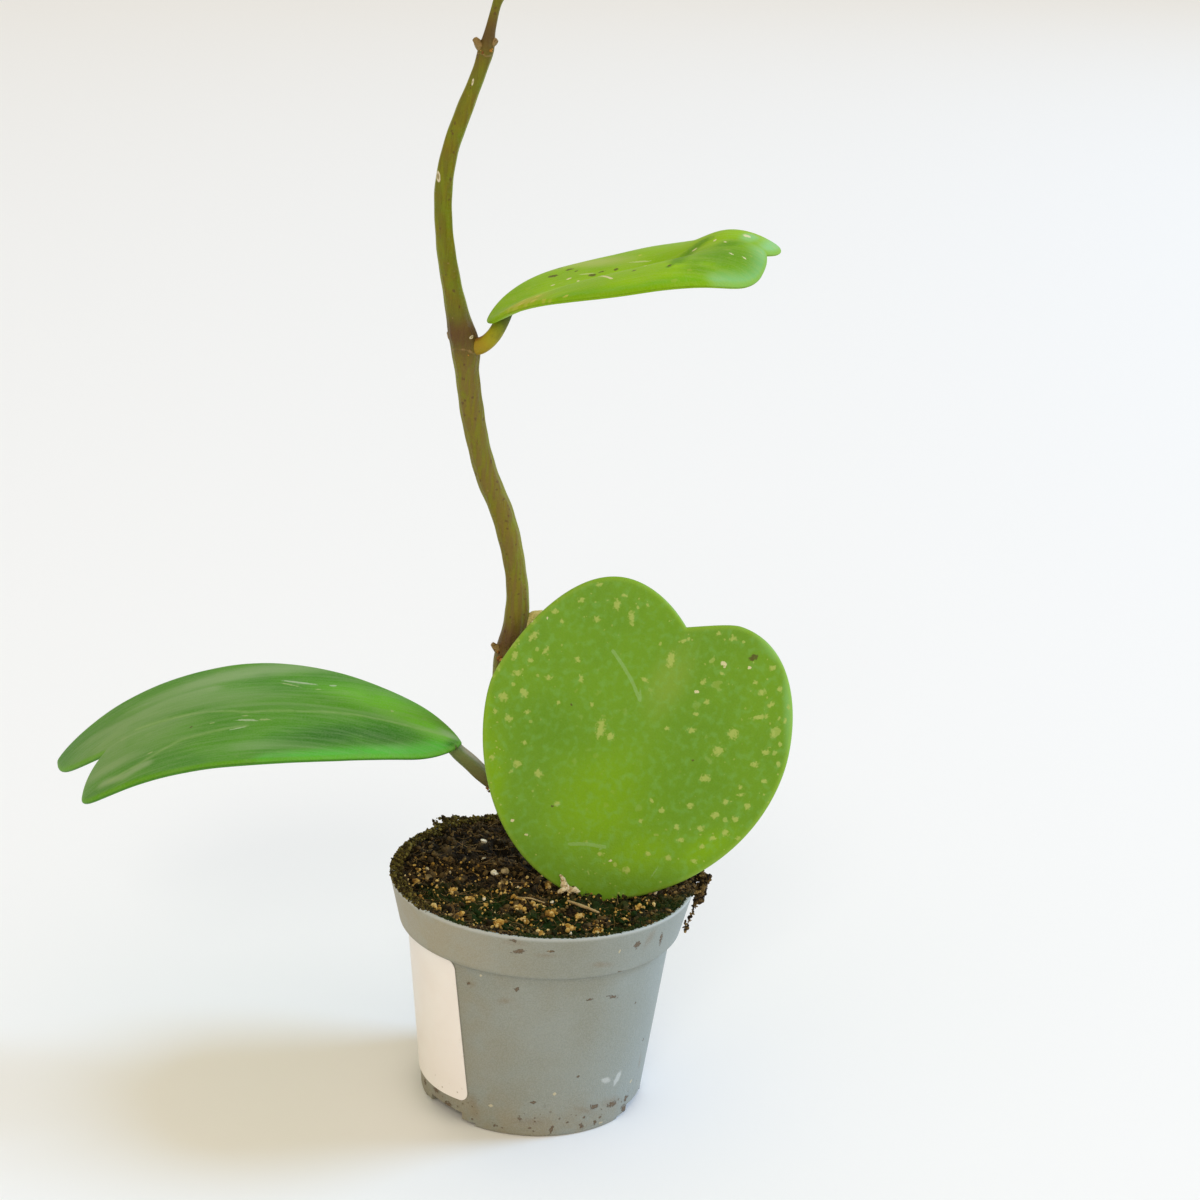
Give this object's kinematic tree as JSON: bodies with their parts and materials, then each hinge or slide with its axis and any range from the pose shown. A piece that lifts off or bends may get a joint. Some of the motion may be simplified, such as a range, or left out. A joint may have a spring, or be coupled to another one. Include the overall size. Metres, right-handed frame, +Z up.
{
  "type": "potted hoya plant",
  "caption": "Young hoya with thick heart-shaped leaves on a wavy bare stem, in a small grey nursery pot of peat soil with a blank label.",
  "frame": {"origin": "centre of the pot's flat underside, where it meets the table", "axes": "+Z up along the pot's axis, -Y towards the viewer of the picture, +X to the viewer's right"},
  "size_m": [0.2068, 0.0861, 0.3031],
  "materials": {
    "pot_plastic": "matte",
    "label_paper": "satin",
    "potting_soil": "matte",
    "stem_bark": "satin",
    "leaf_green": "satin",
    "leaf_dusty_green": "satin",
    "leaf_bright_green": "satin"
  },
  "bodies": {
    "root": {"pot": "pot_plastic", "label": "label_paper", "soil": "potting_soil", "stem": "stem_bark", "leaf_large": "leaf_green", "leaf_left": "leaf_dusty_green", "leaf_right": "leaf_bright_green"}
  },
  "joints": []
}
